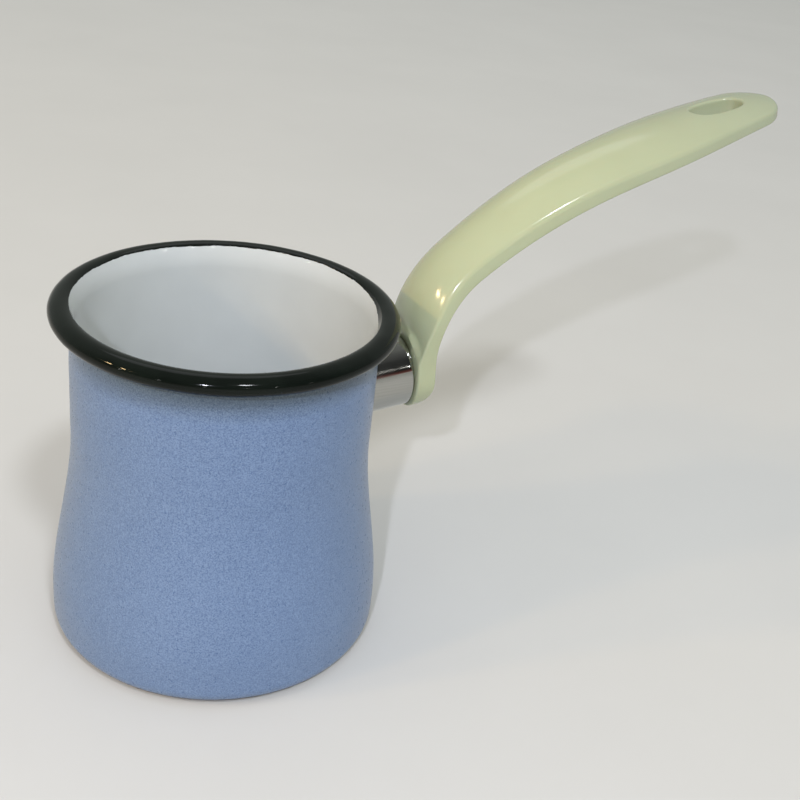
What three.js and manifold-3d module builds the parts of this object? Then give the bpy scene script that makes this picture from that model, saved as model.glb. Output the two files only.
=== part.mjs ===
// A long-handled coffee pot: an enamelled steel vessel with a rolled rim, a bright oval ferrule and a
// moulded handle that one screw holds to a boss on the wall. Millimetres, +Z up. The origin is the middle
// of the underside, and the handle points along +X.
import * as THREE from 'three';
import { mergeVertices } from 'three/addons/utils/BufferGeometryUtils.js';
import Module from 'manifold-3d';

const wasm = await Module();
wasm.setup();

const DEGREE = Math.PI / 180;

// Vessel, measured over the enamel
const potHeight = 96.8;
const bellyRadius = 46;
const bellyHeight = 10; // straight drum, from the underside up
const shoulderInset = 5.8; // how far the neck is drawn in from the drum
const neckLength = 37.8; // from the end of the shoulder up to the top of the rim
const bellyPull = 14; // how far the shoulder's curve carries on up from the drum
const neckPull = 16; // how far it carries on down from the neck
const baseCorner = 5;
const steelSheet = 0.6;
const enamelCoat = 0.3;
const groundCoatTurn = 30 * DEGREE; // how far the ground coat wraps round the base corner

// Rolled rim
const beadHalfWidth = 3.2; // over the enamel
const beadHalfHeight = 2.5;
const mouthDraw = 0.4; // how much narrower the wall is at the bead than at the neck
const drawLength = 14; // stretch of wall below the bead's middle that draws in
const curlEnd = -118 * DEGREE; // where the rolled edge stops, 0 pointing outwards and 90 up
const whiteEdge = 142 * DEGREE; // where the white inside coat meets the black rim coat

// Ferrule, an oval tube that leans up a little towards the handle
const ferruleTilt = 5 * DEGREE;
const ferruleDrop = 27.5; // from the top of the rim down to the middle of the ferrule's outer end
const ferruleReach = 14; // from the neck out to that end
const ferruleHalfHeight = 10.7;
const ferruleHalfWidth = 8.8;
const ferruleWall = 0.8;

// Weld boss inside the ferrule
const bossRadius = 4.6;
const bossFootHalfHeight = 7.6;
const bossFootHalfWidth = 6;
const bossFootThickness = 2;
const bossBoreDepth = 8.5;

// Screw and split washer
const screwRadius = 2.5;
const screwLength = 12;
const screwHeadRadius = 4.4;
const screwHeadHeight = 2.5;
const screwSlotWidth = 1.2;
const screwSlotDepth = 1.3;
const washerRadius = 4.3;
const washerThickness = 1.1;
const washerSplit = 0.9;

// Handle foot, where it seats on the ferrule
const collarLip = 1.2; // how far the collar stands out past the ferrule
const collarThickness = 3.5;
const collarEdge = 0.9;
const spigotLength = 3; // plug that centres the ferrule on the handle
const screwSeatDepth = 1.9; // plastic between the collar's face and the floor under the washer

// Handle spine: straight foot, then four bends, each a length and a turn away from upright
const footLength = 15.4;
const neckBendLength = 12.8;
const neckBendTurn = 22.6 * DEGREE;
const kneeLength = 19;
const kneeTurn = 34.6 * DEGREE;
const armLength = 41.7;
const armTurn = 15.3 * DEGREE;
const tailLength = 72.6;
const tailTurn = 8.7 * DEGREE;
const paddleShare = 0.46; // where along the tail the handle is widest

// Handle section at each station: half width, side band, crown above it and belly below it
const footSection = [9.7, 6.1, 0, 1];
const footTopSection = [10.3, 5.9, 0, 1];
const collarTopSection = [10.8, 5.5, 0.1, 1];
const neckSection = [11.3, 4.6, 2, 1.1];
const kneeSection = [9.9, 4.2, 6.2, 1.4];
const armSection = [11.5, 4.1, 7.8, 1.5];
const paddleSection = [13.4, 3.7, 5.2, 1.2];
const tipSection = [11.2, 3.3, 0.8, 0.7];
const gripEdge = 0.7; // bevel between the side band and the faces

// Hanging hole near the tip
const hangingHoleLength = 20;
const hangingHoleWidth = 8.8;
const hangingHoleFromTip = 19.2;

// Clearances
const fitGap = 0.2; // between pieces that seat on each other
const weldGap = 0.05; // between the boss and the steel that it is welded to
const boreGap = 0.25; // round the screw and the spigot
const bossGap = 0.8; // between the spigot and the boss, so that the screw pulls the handle tight
const overrun = 1; // how far a cutting shape runs past the face that it cuts

// Facets
const turnedSides = 40;
const ovalSides = 28;
const roundSides = 20;
const shoulderSteps = 5;
const beadSteps = 9;
const curlSteps = 7;
const gripStep = 6;
const roundEndSteps = 5;
const firstEndStep = 1.4; // how many steps from the very end the first ring is, so that it has some width
const cornerSteps = 2;
const whiteSteps = 2;
const domeSteps = 3;

const neckRadius = bellyRadius - shoulderInset;
const beadHeight = potHeight - beadHalfHeight;
const beadCentre = neckRadius - mouthDraw + beadHalfWidth - 2 * enamelCoat - steelSheet;
const steelDepth = enamelCoat;
const whiteDepth = enamelCoat + steelSheet;
const insideDepth = whiteDepth + enamelCoat;

// The ferrule's frame: Z out along its axis, Y up, X across, from the middle of its outer end
const ferruleFrame = new THREE.Matrix4().makeBasis(
  new THREE.Vector3(0, 1, 0),
  new THREE.Vector3(-Math.sin(ferruleTilt), 0, Math.cos(ferruleTilt)),
  new THREE.Vector3(Math.cos(ferruleTilt), 0, Math.sin(ferruleTilt)),
);
ferruleFrame.setPosition(neckRadius + ferruleReach, 0, potHeight - ferruleDrop);
const intoFerrule = ferruleFrame.clone().invert();
const insideVessel = -ferruleReach - neckRadius / 2; // start of the shapes that the wall then trims

// A closed geometry with shared corners merged and collapsed triangles dropped
function tidy(geometry) {
  const bare = geometry.clone();
  bare.deleteAttribute('normal');
  bare.deleteAttribute('uv');
  const merged = mergeVertices(bare, 1e-4);
  const corners = merged.index.array;
  const kept = [];
  for (let i = 0; i < corners.length; i += 3) {
    const [a, b, c] = [corners[i], corners[i + 1], corners[i + 2]];
    if (a !== b && b !== c && c !== a) kept.push(a, b, c);
  }
  merged.setIndex(kept);
  return merged;
}

function solid(geometry) {
  const closed = tidy(geometry);
  const vertProperties = new Float32Array(closed.attributes.position.array);
  const triVerts = new Uint32Array(closed.index.array);
  return new wasm.Manifold(new wasm.Mesh({ numProp: 3, vertProperties, triVerts }));
}

function geometryOf(body) {
  const mesh = body.getMesh();
  const geometry = new THREE.BufferGeometry();
  geometry.setAttribute('position', new THREE.BufferAttribute(new Float32Array(mesh.vertProperties), 3));
  geometry.setIndex(Array.from(mesh.triVerts));
  return geometry;
}

// Turns a closed outline of [radius, height] points about Z
function turned(outline, sides = turnedSides) {
  const points = outline.map(([radius, height]) => new THREE.Vector2(radius, height));
  return tidy(new THREE.LatheGeometry(points, sides).rotateX(Math.PI / 2));
}

function ovalArc(centre, halfWidth, halfHeight, from, to, steps) {
  const points = [];
  for (let i = 0; i <= steps; i++) {
    const angle = from + ((to - from) * i) / steps;
    points.push([centre[0] + halfWidth * Math.cos(angle), centre[1] + halfHeight * Math.sin(angle)]);
  }
  return points;
}

function arc(centre, radius, from, to, steps) {
  return ovalArc(centre, radius, radius, from, to, steps);
}

// One face of the vessel's wall, a depth in from its outside: base corner, drum, shoulder, neck, mouth
function wallFace(depth) {
  const cornerCentre = [bellyRadius - baseCorner, baseCorner];
  const cornerRadius = baseCorner - depth;
  const points = arc(cornerCentre, cornerRadius, -Math.PI / 2, groundCoatTurn - Math.PI / 2, 1);
  points.push(...arc(cornerCentre, cornerRadius, groundCoatTurn - Math.PI / 2, 0, cornerSteps).slice(1));
  const neckBottom = potHeight - neckLength;
  const shoulder = new THREE.CubicBezierCurve(
    new THREE.Vector2(bellyRadius, bellyHeight),
    new THREE.Vector2(bellyRadius, bellyHeight + bellyPull),
    new THREE.Vector2(neckRadius, neckBottom - neckPull),
    new THREE.Vector2(neckRadius, neckBottom),
  );
  for (let i = 0; i <= shoulderSteps; i++) {
    const point = shoulder.getPoint(i / shoulderSteps);
    const along = shoulder.getTangent(i / shoulderSteps);
    points.push([point.x - along.y * depth, point.y + along.x * depth]);
  }
  for (const drop of [drawLength, beadHalfHeight, 0]) {
    points.push([neckRadius - mouthDraw * (1 - drop / drawLength) - depth, beadHeight - drop]);
  }
  return points;
}

// Round the bead, a depth in from its outside, between two places on it
function beadFace(depth, from, to, steps) {
  return ovalArc([beadCentre, beadHeight], beadHalfWidth - depth, beadHalfHeight - depth, from, to, steps);
}

const whiteFace = (depth) => beadFace(depth, Math.PI, whiteEdge, whiteSteps);
const blackFace = (depth) => beadFace(depth, whiteEdge, curlEnd, beadSteps);

function vesselShell() {
  const hollow = beadFace(whiteDepth, Math.PI, curlEnd, curlSteps);
  return turned([
    [0, steelDepth],
    ...wallFace(steelDepth),
    ...hollow.slice(1),
    ...blackFace(steelDepth).toReversed(),
    ...whiteFace(steelDepth).toReversed().slice(1, -1),
    ...wallFace(whiteDepth).toReversed(),
    [0, whiteDepth],
  ]);
}

function innerEnamel() {
  return turned([
    [0, whiteDepth],
    ...wallFace(whiteDepth),
    ...whiteFace(steelDepth).slice(1),
    ...whiteFace(0).toReversed().slice(0, -1),
    ...wallFace(insideDepth).toReversed(),
    [0, insideDepth],
  ]);
}

function rimEnamel() {
  const inside = blackFace(steelDepth);
  return turned([...inside, ...blackFace(0).toReversed(), inside[0]]);
}

function baseEnamel() {
  const underside = wallFace(0).slice(0, 2);
  const steelFace = wallFace(steelDepth).slice(0, 2);
  return turned([[0, 0], ...underside, ...steelFace.toReversed(), [0, steelDepth]]);
}

// The blue coat runs from the ground coat's edge to just under the bead, with a window for the boss's foot
function outerEnamel() {
  const outside = wallFace(0).slice(1, -1);
  const inside = wallFace(steelDepth).slice(1, -1).toReversed();
  const coat = solid(turned([...outside, ...inside, outside[0]]));
  const window = ovalBar(bossFootHalfWidth + boreGap, bossFootHalfHeight + boreGap, insideVessel, 0);
  return geometryOf(coat.subtract(solid(window.applyMatrix4(ferruleFrame))));
}

// A solid that fills the vessel out to a depth below its outside, for cutting what meets the wall
function vesselFill(depth) {
  const side = wallFace(depth).slice(cornerSteps + 1);
  return turned([[0, side[0][1]], ...side, [0, beadHeight]]);
}

function oval(halfWidth, halfHeight) {
  const outline = new THREE.Shape();
  outline.absellipse(0, 0, halfWidth, halfHeight, 0, 2 * Math.PI);
  return outline;
}

// An oval bar along the ferrule's axis
function ovalBar(halfWidth, halfHeight, from, to) {
  const settings = { depth: to - from, bevelEnabled: false, curveSegments: ovalSides / 2 };
  return new THREE.ExtrudeGeometry(oval(halfWidth, halfHeight), settings).translate(0, 0, from);
}

// A round bar along the ferrule's axis
function roundBar(radius, from, to) {
  const bar = new THREE.CylinderGeometry(radius, radius, to - from, roundSides);
  return bar.rotateX(Math.PI / 2).translate(0, 0, (from + to) / 2);
}

function wallCutter(depth) {
  return solid(vesselFill(depth).applyMatrix4(intoFerrule));
}

function ferrule() {
  const tube = solid(ovalBar(ferruleHalfWidth, ferruleHalfHeight, insideVessel, 0));
  const boreStart = insideVessel - overrun;
  const boreHalfWidth = ferruleHalfWidth - ferruleWall;
  const boreHalfHeight = ferruleHalfHeight - ferruleWall;
  const bore = solid(ovalBar(boreHalfWidth, boreHalfHeight, boreStart, overrun));
  return geometryOf(tube.subtract(bore).subtract(wallCutter(-fitGap)));
}

function handleBracket() {
  const bossEnd = -spigotLength - bossGap;
  const footEnd = bossFootThickness - ferruleReach;
  const foot = solid(ovalBar(bossFootHalfWidth, bossFootHalfHeight, insideVessel, footEnd));
  const boss = solid(roundBar(bossRadius, insideVessel, bossEnd));
  const bore = solid(roundBar(screwRadius + boreGap, bossEnd - bossBoreDepth, bossEnd + overrun));
  return geometryOf(foot.add(boss).subtract(wallCutter(steelDepth - weldGap)).subtract(bore));
}

// The screw's axis and the washer's floor, from the ferrule's outer end
const collarFace = fitGap;
const washerFloor = collarFace + screwSeatDepth;
const headFloor = washerFloor + washerThickness + 2 * fitGap;

function lockWasher() {
  const ring = new THREE.Shape();
  const halfSplit = Math.asin(washerSplit / 2 / washerRadius);
  const bore = screwRadius + boreGap;
  const boreSplit = Math.asin(washerSplit / 2 / bore);
  ring.absarc(0, 0, washerRadius, halfSplit, 2 * Math.PI - halfSplit, false);
  ring.absarc(0, 0, bore, 2 * Math.PI - boreSplit, boreSplit, true);
  const settings = { depth: washerThickness, bevelEnabled: false, curveSegments: roundSides / 2 };
  const coil = new THREE.ExtrudeGeometry(ring, settings).rotateZ(Math.PI / 2);
  return tidy(coil.translate(0, 0, washerFloor + fitGap));
}

function handleScrew() {
  const shank = solid(roundBar(screwRadius, headFloor - screwLength, headFloor + overrun));
  const domeStart = screwHeadHeight / 2;
  const head = [
    [0, 0],
    [screwHeadRadius, 0],
    ...arc([screwHeadRadius - domeStart, domeStart], domeStart, 0, Math.PI / 2, domeSteps),
    [0, screwHeadHeight],
  ];
  const dome = solid(turned(head, roundSides).translate(0, 0, headFloor));
  const slot = new THREE.BoxGeometry(2 * screwHeadRadius + overrun, screwSlotWidth, screwSlotDepth + overrun);
  slot.translate(0, 0, headFloor + screwHeadHeight - screwSlotDepth / 2 + overrun / 2);
  return geometryOf(shank.add(dome).subtract(solid(slot)));
}

// Where the spine is after a run, and the way it heads, 0 pointing along +X and 90 up
const spineParts = [
  { length: footLength, turn: 0 },
  { length: neckBendLength, turn: neckBendTurn },
  { length: kneeLength, turn: kneeTurn },
  { length: armLength, turn: armTurn },
  { length: tailLength, turn: tailTurn },
];
const spineLength = spineParts.reduce((sum, part) => sum + part.length, 0);
const footBottom = ferruleHalfHeight + collarLip - collarEdge;

function spineAt(run) {
  const foot = new THREE.Vector3(0, -footBottom, collarFace + footSection[1] / 2).applyMatrix4(ferruleFrame);
  let heading = Math.PI / 2 + ferruleTilt;
  let left = run;
  for (const part of spineParts) {
    const length = Math.min(left, part.length);
    const turn = (part.turn * length) / part.length;
    const chord = turn === 0 ? length : (2 * Math.sin(turn / 2) * length) / turn;
    foot.x += chord * Math.cos(heading - turn / 2);
    foot.z += chord * Math.sin(heading - turn / 2);
    heading -= turn;
    left -= length;
  }
  return { point: foot, heading };
}

const kneeRun = footLength + neckBendLength + kneeLength;
const sectionStations = [
  [0, footSection],
  [footLength, footTopSection],
  [2 * footBottom, collarTopSection],
  [footLength + neckBendLength, neckSection],
  [kneeRun, kneeSection],
  [kneeRun + armLength, armSection],
  [kneeRun + armLength + paddleShare * tailLength, paddleSection],
  [spineLength, tipSection],
];
const sectionCurve = new THREE.CubicInterpolant(
  sectionStations.map(([run]) => run),
  sectionStations.flatMap(([, section]) => section),
  footSection.length,
  new Float32Array(footSection.length),
);

// Share of its full width that the handle has near its two round ends
function endRoundness(run) {
  const footShare = Math.min(run / footBottom, 1);
  const tipShare = Math.min((spineLength - run) / tipSection[0], 1);
  return Math.sqrt(1 - (1 - footShare) ** 2) * Math.sqrt(1 - (1 - tipShare) ** 2);
}

// Height of the handle's top face above its spine
function gripTop(run) {
  const [, band, crown] = sectionCurve.evaluate(run);
  return band / 2 + crown;
}

// The handle's outline across its spine: crowned top, side band with bevelled edges, shallow belly
function gripSection(run) {
  const [fullWidth, band, fullCrown, fullBelly] = sectionCurve.evaluate(run);
  const share = endRoundness(run);
  const half = fullWidth * share;
  const edge = Math.min(gripEdge, band / 3, half / 3);
  const outline = [];
  for (const f of [1, 2 / 3, 1 / 3, 0, -1 / 3, -2 / 3, -1]) {
    outline.push([f * (half - edge), band / 2 + fullCrown * share * (1 - f * f)]);
  }
  outline.push([-half, band / 2 - edge], [-half, edge - band / 2]);
  for (const f of [-1, -1 / 2, 0, 1 / 2, 1]) {
    outline.push([f * (half - edge), -band / 2 - fullBelly * share * (1 - f * f)]);
  }
  outline.push([half, edge - band / 2], [half, band / 2 - edge]);
  const { point, heading } = spineAt(run);
  return outline.map(([across, up]) => {
    return new THREE.Vector3(point.x - Math.sin(heading) * up, across, point.z + Math.cos(heading) * up);
  });
}

// A closed skin through rings of as many points each
function loft(rings) {
  const count = rings[0].length;
  const corners = rings.flat();
  const faces = [];
  for (let i = 0; i + 1 < rings.length; i++) {
    for (let j = 0; j < count; j++) {
      const [a, b] = [i * count + j, i * count + ((j + 1) % count)];
      faces.push(a, b, b + count, a, b + count, a + count);
    }
  }
  const last = (rings.length - 1) * count;
  for (let j = 1; j + 1 < count; j++) {
    faces.push(0, j + 1, j, last, last + j, last + j + 1);
  }
  const skin = new THREE.BufferGeometry().setFromPoints(corners);
  skin.setIndex(faces);
  return skin;
}

// Runs at which the handle has a section: close together round the ends and at each station
function gripRuns() {
  const runs = [];
  for (let i = 1; i <= roundEndSteps; i++) {
    const share = 1 - Math.cos(((Math.PI / 2) * (i - 1 + firstEndStep)) / (roundEndSteps - 1 + firstEndStep));
    runs.push(share * footBottom, spineLength - share * tipSection[0]);
  }
  const from = footBottom;
  const to = spineLength - tipSection[0];
  const steps = Math.ceil((to - from) / gripStep);
  for (let i = 1; i < steps; i++) {
    runs.push(from + ((to - from) * i) / steps);
  }
  return runs.sort((a, b) => a - b);
}

// The slot through the tail, square to the spine
function hangingHole() {
  const run = spineLength - hangingHoleFromTip;
  const { point, heading } = spineAt(run);
  const straight = (hangingHoleLength - hangingHoleWidth) / 2;
  const outline = new THREE.Shape();
  outline.absarc(straight, 0, hangingHoleWidth / 2, -Math.PI / 2, Math.PI / 2, false);
  outline.absarc(-straight, 0, hangingHoleWidth / 2, Math.PI / 2, (3 * Math.PI) / 2, false);
  const reach = gripTop(run) + sectionCurve.evaluate(run)[3] + overrun;
  const settings = { depth: 2 * reach, bevelEnabled: false, curveSegments: roundSides / 2 };
  const slot = new THREE.ExtrudeGeometry(outline, settings).translate(0, 0, -reach);
  return slot.rotateY(-heading).translate(point.x, point.y, point.z);
}

function handleGrip() {
  const bar = solid(loft(gripRuns().map(gripSection)));
  const spigotWidth = ferruleHalfWidth - ferruleWall - boreGap;
  const spigotHeight = ferruleHalfHeight - ferruleWall - boreGap;
  const collarOutline = oval(ferruleHalfWidth + collarLip, ferruleHalfHeight + collarLip);
  const collar = new THREE.ExtrudeGeometry(collarOutline, {
    depth: collarThickness - 2 * collarEdge,
    curveSegments: ovalSides / 2,
    bevelThickness: collarEdge,
    bevelSize: collarEdge,
    bevelOffset: -collarEdge,
    bevelSegments: 2,
  });
  collar.translate(0, 0, collarFace + collarEdge);
  const spigot = ovalBar(spigotWidth, spigotHeight, -spigotLength, collarFace + overrun);
  const backReach = collarFace + footSection[1] + footSection[3] + overrun;
  const screwHole = roundBar(screwRadius + boreGap, -spigotLength - overrun, backReach);
  const headPocket = roundBar(screwHeadRadius + boreGap, washerFloor, backReach);
  const place = (geometry) => solid(geometry.applyMatrix4(ferruleFrame));
  const body = bar.add(place(collar)).add(place(spigot));
  const drilled = body.subtract(place(screwHole)).subtract(place(headPocket));
  return geometryOf(drilled.subtract(solid(hangingHole())));
}

const part = new THREE.Group();
const alongFerrule = new THREE.Group();
alongFerrule.applyMatrix4(ferruleFrame);
part.add(alongFerrule);

function add(group, name, geometry, color, roughness, metalness) {
  const mesh = new THREE.Mesh(geometry, new THREE.MeshStandardMaterial({ color, roughness, metalness }));
  mesh.name = name;
  group.add(mesh);
}

add(part, 'vessel_shell', vesselShell(), 0x8a8c8e, 0.45, 1);
add(part, 'outer_enamel', outerEnamel(), 0x7c90b3, 0.35, 0);
add(part, 'inner_enamel', innerEnamel(), 0xe6e9ea, 0.2, 0);
add(part, 'rim_enamel', rimEnamel(), 0x151917, 0.12, 0);
add(part, 'base_enamel', baseEnamel(), 0x2a2624, 0.4, 0);
add(part, 'handle_grip', handleGrip(), 0xc8cea4, 0.25, 0);
add(alongFerrule, 'ferrule', ferrule(), 0xb9bbba, 0.15, 1);
add(alongFerrule, 'handle_bracket', handleBracket(), 0x77797b, 0.5, 1);
add(alongFerrule, 'handle_screw', handleScrew(), 0xa8a9a8, 0.3, 1);
add(alongFerrule, 'lock_washer', lockWasher(), 0x9a9b9b, 0.35, 1);

export default part;
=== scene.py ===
import math

import bmesh
import bpy
import numpy as np
from bpy.props import FloatProperty, FloatVectorProperty, PointerProperty
from mathutils import Matrix, Vector
from mathutils.geometry import delaunay_2d_cdt


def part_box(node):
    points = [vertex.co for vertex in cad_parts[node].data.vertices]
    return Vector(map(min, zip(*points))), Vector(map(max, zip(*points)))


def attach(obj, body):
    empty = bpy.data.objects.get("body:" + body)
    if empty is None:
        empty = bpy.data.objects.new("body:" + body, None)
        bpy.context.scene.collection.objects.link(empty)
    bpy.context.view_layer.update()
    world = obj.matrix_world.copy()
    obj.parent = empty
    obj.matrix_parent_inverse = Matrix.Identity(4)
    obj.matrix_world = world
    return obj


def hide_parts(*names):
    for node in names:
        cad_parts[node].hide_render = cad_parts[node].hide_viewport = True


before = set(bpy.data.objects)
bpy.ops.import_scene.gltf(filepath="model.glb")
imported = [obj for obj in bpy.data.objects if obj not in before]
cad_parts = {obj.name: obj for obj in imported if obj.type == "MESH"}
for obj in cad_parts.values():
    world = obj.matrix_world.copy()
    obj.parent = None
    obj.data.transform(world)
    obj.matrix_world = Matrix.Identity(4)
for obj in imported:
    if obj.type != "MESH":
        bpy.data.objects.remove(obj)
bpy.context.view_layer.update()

bl_info = {
    "name": "Enamel coffee pot",
    "version": (1, 0, 0),
    "blender": (4, 5, 0),
    "location": "3D View > Sidebar > Coffee pot",
    "description": "Builds an enamelled long-handled coffee pot over its engineering frame",
    "category": "Object",
}

MM = 0.001
DRUM_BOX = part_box("outer_enamel")
RIM_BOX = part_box("rim_enamel")
FERRULE_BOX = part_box("ferrule")


def length(label, words, millimetres):
    return FloatProperty(name=label, description=words, default=millimetres * MM, unit="LENGTH",
                         subtype="DISTANCE", precision=5)


def turn(label, words, degrees):
    return FloatProperty(name=label, description=words, default=math.radians(degrees), unit="ROTATION",
                         subtype="ANGLE")


def share(label, words, default):
    return FloatProperty(name=label, description=words, default=default, min=0.0, max=1.0, subtype="FACTOR")


def colour(label, words, rgb):
    return FloatVectorProperty(name=label, description=words, default=rgb, size=3, min=0.0, max=1.0,
                               subtype="COLOR")


def power(label, watts):
    return FloatProperty(name=label, description="In watts", default=watts, min=0.0, unit="POWER")


def place(label, words, millimetres):
    return FloatVectorProperty(name=label, description=words, default=[v * MM for v in millimetres], size=3,
                               unit="LENGTH", subtype="TRANSLATION")


class VesselSizes(bpy.types.PropertyGroup):
    """Sizes of the steel vessel, measured over its enamel."""
    pot_height: length("Height", "Underside to the top of the rim", RIM_BOX[1].z / MM)
    belly_radius: length("Drum radius", "Outside radius of the wide foot", DRUM_BOX[1].x / MM)
    belly_height: length("Drum height", "Straight wall, from the underside up", 10)
    shoulder_inset: length("Shoulder inset", "How far the neck is drawn in from the drum", 5.8)
    neck_length: length("Neck length", "Shoulder's end to the top of the rim", 37.8)
    belly_pull: length("Drum pull", "How far the shoulder's curve carries on up from the drum", 14)
    neck_pull: length("Neck pull", "How far the shoulder's curve carries on down from the neck", 16)
    base_corner: length("Base corner", "Radius between the wall and the underside", 5)
    steel_sheet: length("Steel sheet", "Thickness of the steel", 0.6)
    enamel_coat: length("Enamel coat", "Thickness of each coat of enamel", 0.3)
    ground_turn: turn("Ground coat", "How far the dark ground coat wraps round the base corner", 58)
    mouth_draw: length("Mouth draw", "How much narrower the wall is at the rim than at the neck", 0.4)
    draw_length: length("Draw length", "Stretch of wall below the rim that draws in", 14)


class RimSizes(bpy.types.PropertyGroup):
    """Sizes of the rolled rim and of its black coat."""
    half_width: length("Half width", "Half of the bead's width, over the enamel", 3.2)
    half_height: length("Half height", "Half of the bead's height, over the enamel", 2.5)
    curl_end: turn("Roll end", "Where the rolled edge stops, 0 pointing outwards and 90 up", -118)
    lip_turn: turn("Lip", "Where the bead runs into the steep inside of the mouth", 126)
    coat_edge: turn("Coat edge", "Where the black coat stops inside the mouth", 131)
    coat_lap: turn("Coat lap", "How far the black coat laps over the white one", 14)
    coat_sag: turn("Coat sag", "How much further the black coat runs down on one side", 56)
    sag_side: turn("Sag side", "Direction of that side, from the handle", -30)
    sag_spread: turn("Sag spread", "How wide that side is", 24)
    edge_ripple: turn("Edge ripple", "How much the coat's edge wanders", 4.5)
    coat_proud: length("Coat overlap", "How far the black coat stands proud of the white one", 0.09)
    bead_ripple: length("Bead ripple", "How uneven the bead is along its length", 0.035)


class FerruleSizes(bpy.types.PropertyGroup):
    """Sizes of the bright oval ferrule."""
    tilt: turn("Tilt", "How much the ferrule leans up towards the handle", 5)
    drop: length("Drop", "Top of the rim down to the middle of the outer end", 27.5)
    reach: length("Reach", "Neck to the outer end", 14)
    half_width: length("Half width", "Half of the oval's width", FERRULE_BOX[1].y / MM)
    half_height: length("Half height", "Half of the oval's height", 10.7)
    wall: length("Wall", "Thickness of the tube", 0.8)
    edge: length("Edge", "Rounding of the outer end", 0.35)
    seat_gap: length("Seat gap", "Gap to the wall and to the handle", 0.2)


class HandleSizes(bpy.types.PropertyGroup):
    """Sizes of the moulded handle."""
    foot_length: length("Foot", "Straight stretch behind the ferrule", 15.4)
    neck_bend: length("Neck bend", "Length of the first bend", 12.8)
    neck_turn: turn("Neck turn", "Turn of the first bend", 22.6)
    knee: length("Knee", "Length of the second bend", 19)
    knee_turn: turn("Knee turn", "Turn of the second bend", 34.6)
    arm: length("Arm", "Length of the third bend", 41.7)
    arm_turn: turn("Arm turn", "Turn of the third bend", 15.3)
    tail: length("Tail", "Length of the last bend", 72.6)
    tail_turn: turn("Tail turn", "Turn of the last bend", 8.7)
    paddle_share: share("Widest place", "Share of the tail at which the handle is widest", 0.46)
    lip: length("Lip", "How far the collar stands out past the ferrule", 1.2)
    lip_top: length("Upper lip", "How much further it stands out at the top", 1.0)
    lip_side: length("Side lip", "How much further it stands out at the sides", 1.0)
    foot_clear: length("Foot clearance", "Ferrule's lowest point to the start of the spine", 0.3)
    foot_under: length("Foot end", "How far the foot reaches below the ferrule", 0.75)
    edge: length("Edge", "Rounding between the back and the side band, and all round the foot", 0.7)
    front_edge: length("Front edge", "Rounding between the crown and the side band, past the knee", 1.0)
    foot_edge: length("Foot edge", "Rounding at the back of the foot's end", 3.6)
    hole_length: length("Hole length", "Length of the hanging hole", 17.6)
    hole_width: length("Hole width", "Width of the hanging hole", 8.8)
    hole_from_tip: length("Hole place", "Tip to the middle of the hanging hole", 20.4)
    hole_edge: length("Hole edge", "Rounding of the hanging hole", 0.9)
    pocket_radius: length("Screw pocket", "Radius of the pocket for the screw's head", 4.65)
    pocket_floor: length("Pocket floor", "Ferrule's end to the floor of the pocket", 2.1)
    pocket_edge: length("Pocket edge", "Rounding of the pocket's mouth", 0.4)


class ScrewSizes(bpy.types.PropertyGroup):
    """Sizes of the slotted screw."""
    shank: length("Shank", "Radius of the shank", 2.5)
    shank_length: length("Shank length", "Under the head", 12)
    shank_chamfer: length("Shank chamfer", "Chamfer at the shank's end", 0.4)
    head: length("Head", "Radius of the head", 4.4)
    head_height: length("Head height", "Height of the head", 2.5)
    head_chamfer: length("Head chamfer", "Chamfer under the head", 0.15)
    slot_width: length("Slot", "Width of the slot", 1.2)
    slot_depth: length("Slot depth", "Depth of the slot", 1.3)
    head_seat: length("Head seat", "Ferrule's end to the underside of the head", 3.6)


class Finishes(bpy.types.PropertyGroup):
    """Colours of the pot and of its table, and where painted shade fades in under the rim and towards the
    handle's tip.
    """
    blue: colour("Blue enamel", "Middle tone of the speckled coat", (0.143, 0.216, 0.358))
    blue_dark: colour("Blue enamel, dark specks", "Dark specks of that coat", (0.098, 0.155, 0.280))
    blue_light: colour("Blue enamel, pale specks", "Pale specks of that coat", (0.192, 0.276, 0.425))
    # Painted shade: a grey tint multiplied into the blue just under the rim, standing in for the shade that
    # the rim's overhang casts on the wall.
    painted_shade: colour("Black spray", "How the rim's spray darkens the blue", (0.56, 0.535, 0.43))
    painted_shade_start: length("Spray start", "Top of the rim down to the first trace of the spray", 14.3)
    painted_shade_full: length("Spray full", "Top of the rim down to the full spray", 7.8)
    white: colour("White enamel", "Inside coat", (0.59, 0.62, 0.61))
    black: colour("Black enamel", "Rim coat", (0.0048, 0.0068, 0.0052))
    ground: colour("Ground enamel", "Coat of the underside", (0.026, 0.021, 0.018))
    plastic: colour("Handle", "Moulded plastic", (0.455, 0.488, 0.305))
    plastic_shade: colour("Handle, deeper", "Deeper tone in the plastic", (0.43, 0.463, 0.285))
    # Painted shade: the plastic darkens towards the handle's tip, standing in for light that falls off
    # along the handle.
    tip_shade: colour("Handle, tip", "How the plastic deepens towards the tip", (0.84, 0.86, 0.93))
    tip_shade_start: length("Tip tone start", "Pot's axis out to where the plastic starts to deepen", 90)
    tip_shade_full: length("Tip tone full", "Pot's axis out to where it is deepest", 165)
    bright: colour("Bright steel", "Ferrule", (0.42, 0.42, 0.395))
    steel: colour("Plain steel", "Vessel, boss, screw and washer", (0.47, 0.475, 0.48))
    floor: colour("Floor", "Pale table", (0.62, 0.62, 0.60))


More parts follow.
